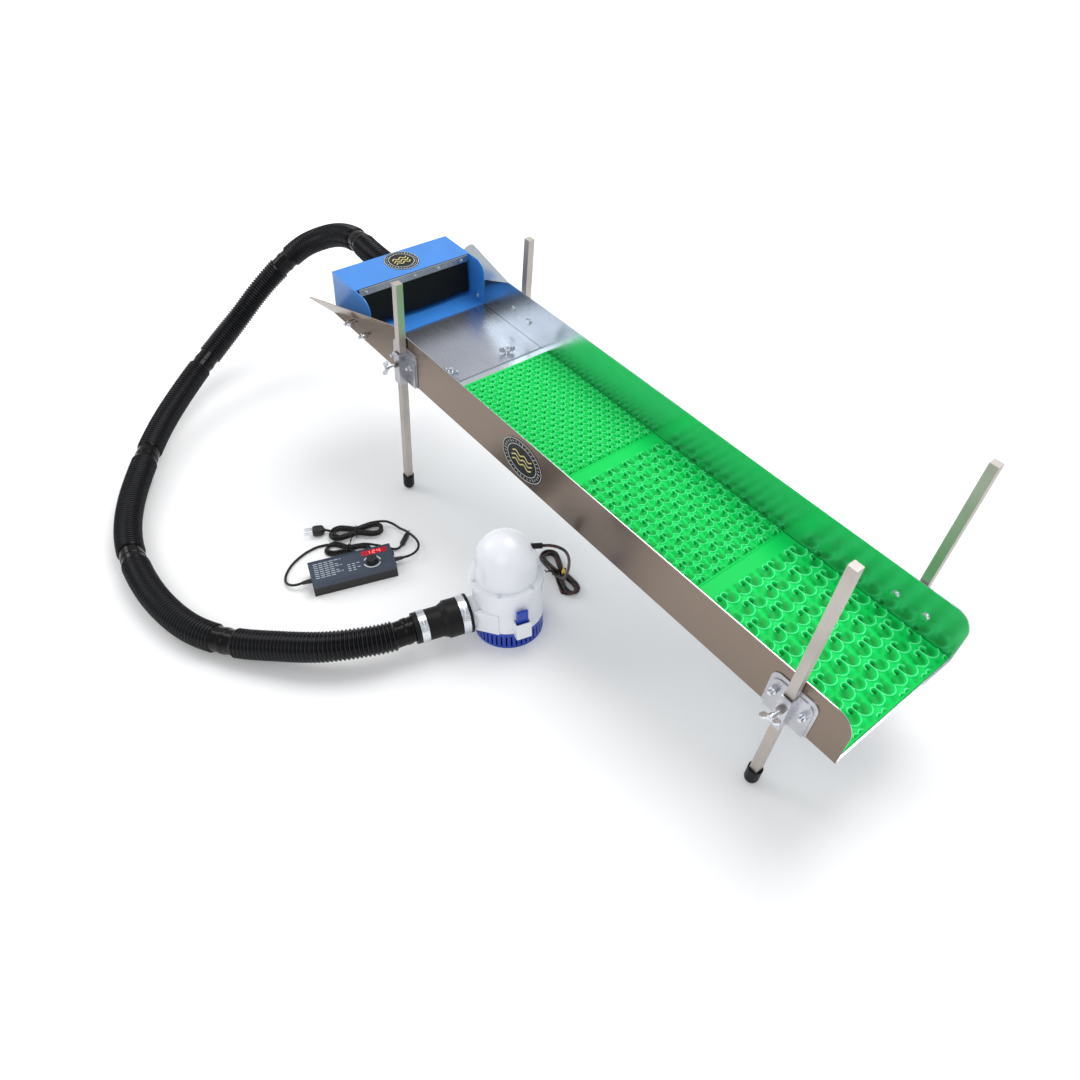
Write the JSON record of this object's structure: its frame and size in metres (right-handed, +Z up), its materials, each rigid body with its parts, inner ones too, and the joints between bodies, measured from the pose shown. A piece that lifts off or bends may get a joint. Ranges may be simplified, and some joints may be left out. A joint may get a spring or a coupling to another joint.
{
  "type": "highbanker sluice kit",
  "caption": "Sloping aluminium sluice trough on adjustable legs, with a blue header box, ribbed mats, a feed hose, a pump and a power supply.",
  "frame": {"origin": "on the ground, under the middle of the kit without its hose and leads", "axes": "+X along the sluice from head to tail, +Y to the side away from the pump, +Z up"},
  "size_m": [1.6009, 0.8422, 0.4406],
  "materials": {
    "brushed_aluminium": "brushed",
    "blue_powder_coat": "satin",
    "black_rubber": "matte",
    "plate_aluminium": "satin",
    "zinc_steel": "bright",
    "green_mat": "satin",
    "emblem_print": "gloss",
    "bar_aluminium": "satin",
    "blue_plastic": "gloss",
    "white_plastic": "gloss",
    "motor_steel": "satin",
    "black_plastic": "satin",
    "slate_plastic": "matte",
    "display_window": "gloss",
    "hose_plastic": "satin",
    "lead_jacket": "satin"
  },
  "bodies": {
    "kit": {"trough": "brushed_aluminium", "header_box": "blue_powder_coat", "flap_edge": "black_rubber", "flap_strip": "plate_aluminium", "flap_screws": "zinc_steel", "header_bolts": "zinc_steel", "slick_plate": "plate_aluminium", "slick_studs": "zinc_steel", "mat_fine": "green_mat", "mat_medium": "green_mat", "mat_coarse": "green_mat", "wall_emblem": "emblem_print", "roof_emblem": "emblem_print", "leg_plates": "plate_aluminium", "leg_sleeves": "plate_aluminium", "sleeve_nuts": "zinc_steel", "clamp_bolts": "zinc_steel", "pump_strainer": "blue_plastic", "pump_body": "white_plastic", "pump_dome": "white_plastic", "pump_motor": "motor_steel", "pump_screws": "zinc_steel", "pump_gland": "black_plastic", "coupling": "black_rubber", "hose_clamps": "zinc_steel", "supply_base": "black_plastic", "supply_lid": "slate_plastic", "supply_display": "display_window", "hose": "hose_plastic", "pump_lead": "lead_jacket", "pump_lead_hank": "lead_jacket", "dc_lead": "lead_jacket", "dc_lead_hank": "lead_jacket", "dc_plug": "black_plastic", "mains_lead": "lead_jacket", "mains_lead_hank": "lead_jacket", "mains_plug": "black_plastic"},
    "leg_head_near": {"leg_head_near": "bar_aluminium", "foot_head_near": "black_rubber"},
    "leg_head_far": {"leg_head_far": "bar_aluminium", "foot_head_far": "black_rubber"},
    "leg_tail_near": {"leg_tail_near": "bar_aluminium", "foot_tail_near": "black_rubber"},
    "leg_tail_far": {"leg_tail_far": "bar_aluminium", "foot_tail_far": "black_rubber"},
    "thumb_screw_head_near": {"thumb_screw_head_near": "zinc_steel"},
    "thumb_screw_head_far": {"thumb_screw_head_far": "zinc_steel"},
    "thumb_screw_tail_near": {"thumb_screw_tail_near": "zinc_steel"},
    "thumb_screw_tail_far": {"thumb_screw_tail_far": "zinc_steel"},
    "header_wing_nut_near_rear": {"header_wing_nut_near_rear": "zinc_steel"},
    "header_wing_nut_near_front": {"header_wing_nut_near_front": "zinc_steel"},
    "header_wing_nut_far_rear": {"header_wing_nut_far_rear": "zinc_steel"},
    "header_wing_nut_far_front": {"header_wing_nut_far_front": "zinc_steel"},
    "slick_wing_nut_near": {"slick_wing_nut_near": "zinc_steel"},
    "slick_wing_nut_far": {"slick_wing_nut_far": "zinc_steel"},
    "flap": {"header_flap": "black_rubber"},
    "impeller": {"pump_impeller": "black_plastic"},
    "latch_front": {"pump_latch_front": "blue_plastic"},
    "latch_back": {"pump_latch_back": "blue_plastic"},
    "knob": {"supply_knob": "black_plastic"}
  },
  "joints": [
    {"name": "slide_leg_head_near", "type": "slide", "parent": "kit", "child": "leg_head_near", "axis": [0.1219, 0, 0.9925], "range_m": [-0.11, 0.12]},
    {"name": "slide_leg_head_far", "type": "slide", "parent": "kit", "child": "leg_head_far", "axis": [0.1219, 0, 0.9925], "range_m": [-0.11, 0.12]},
    {"name": "slide_leg_tail_near", "type": "slide", "parent": "kit", "child": "leg_tail_near", "axis": [0.1219, 0, 0.9925], "range_m": [-0.12, 0.09]},
    {"name": "slide_leg_tail_far", "type": "slide", "parent": "kit", "child": "leg_tail_far", "axis": [0.1219, 0, 0.9925], "range_m": [-0.12, 0.09]},
    {"name": "turn_thumb_screw_head_near", "type": "hinge", "parent": "kit", "child": "thumb_screw_head_near", "pos_m": [-0.33335, -0.0281, 0.29088], "axis": [0, -1, 0], "continuous": true},
    {"name": "turn_thumb_screw_head_far", "type": "hinge", "parent": "kit", "child": "thumb_screw_head_far", "pos_m": [-0.33335, 0.2791, 0.29088], "axis": [0, 1, 0], "continuous": true},
    {"name": "turn_thumb_screw_tail_near", "type": "hinge", "parent": "kit", "child": "thumb_screw_tail_near", "pos_m": [0.51527, -0.0281, 0.18668], "axis": [0, -1, 0], "continuous": true},
    {"name": "turn_thumb_screw_tail_far", "type": "hinge", "parent": "kit", "child": "thumb_screw_tail_far", "pos_m": [0.51527, 0.2791, 0.18668], "axis": [0, 1, 0], "continuous": true},
    {"name": "turn_header_wing_nut_near_rear", "type": "hinge", "parent": "kit", "child": "header_wing_nut_near_rear", "pos_m": [-0.51779, -0.0065, 0.29035], "axis": [0, -1, 0], "continuous": true},
    {"name": "turn_header_wing_nut_near_front", "type": "hinge", "parent": "kit", "child": "header_wing_nut_near_front", "pos_m": [-0.46817, -0.0065, 0.28426], "axis": [0, -1, 0], "continuous": true},
    {"name": "turn_header_wing_nut_far_rear", "type": "hinge", "parent": "kit", "child": "header_wing_nut_far_rear", "pos_m": [-0.51779, 0.2575, 0.29035], "axis": [0, 1, 0], "continuous": true},
    {"name": "turn_header_wing_nut_far_front", "type": "hinge", "parent": "kit", "child": "header_wing_nut_far_front", "pos_m": [-0.46817, 0.2575, 0.28426], "axis": [0, 1, 0], "continuous": true},
    {"name": "turn_slick_wing_nut_near", "type": "hinge", "parent": "kit", "child": "slick_wing_nut_near", "pos_m": [-0.2952, 0.0635, 0.25697], "axis": [0.1219, 0, 0.9925], "continuous": true},
    {"name": "turn_slick_wing_nut_far", "type": "hinge", "parent": "kit", "child": "slick_wing_nut_far", "pos_m": [-0.2952, 0.1875, 0.25697], "axis": [0.1219, 0, 0.9925], "continuous": true},
    {"name": "swing_flap", "type": "hinge", "parent": "kit", "child": "flap", "pos_m": [-0.48954, 0.1255, 0.34733], "axis": [0, -1, 0], "range_deg": [-12, 60]},
    {"name": "spin_impeller", "type": "hinge", "parent": "kit", "child": "impeller", "pos_m": [0.045, -0.0835, 0.05], "axis": [0, 0, 1], "continuous": true},
    {"name": "squeeze_latch_front", "type": "hinge", "parent": "kit", "child": "latch_front", "pos_m": [0.10268, -0.10004, 0.036], "axis": [-0.2756, -0.9613, 0], "range_deg": [0, 5], "stiffness_Nm_per_rad": 2},
    {"name": "squeeze_latch_back", "type": "hinge", "parent": "kit", "child": "latch_back", "pos_m": [-0.01268, -0.06696, 0.036], "axis": [0.2756, 0.9613, 0], "range_deg": [0, 5], "stiffness_Nm_per_rad": 2},
    {"name": "turn_knob", "type": "hinge", "parent": "kit", "child": "knob", "pos_m": [-0.19881, -0.19163, 0.033], "axis": [0, 0, 1], "range_deg": [-135, 135]}
  ]
}
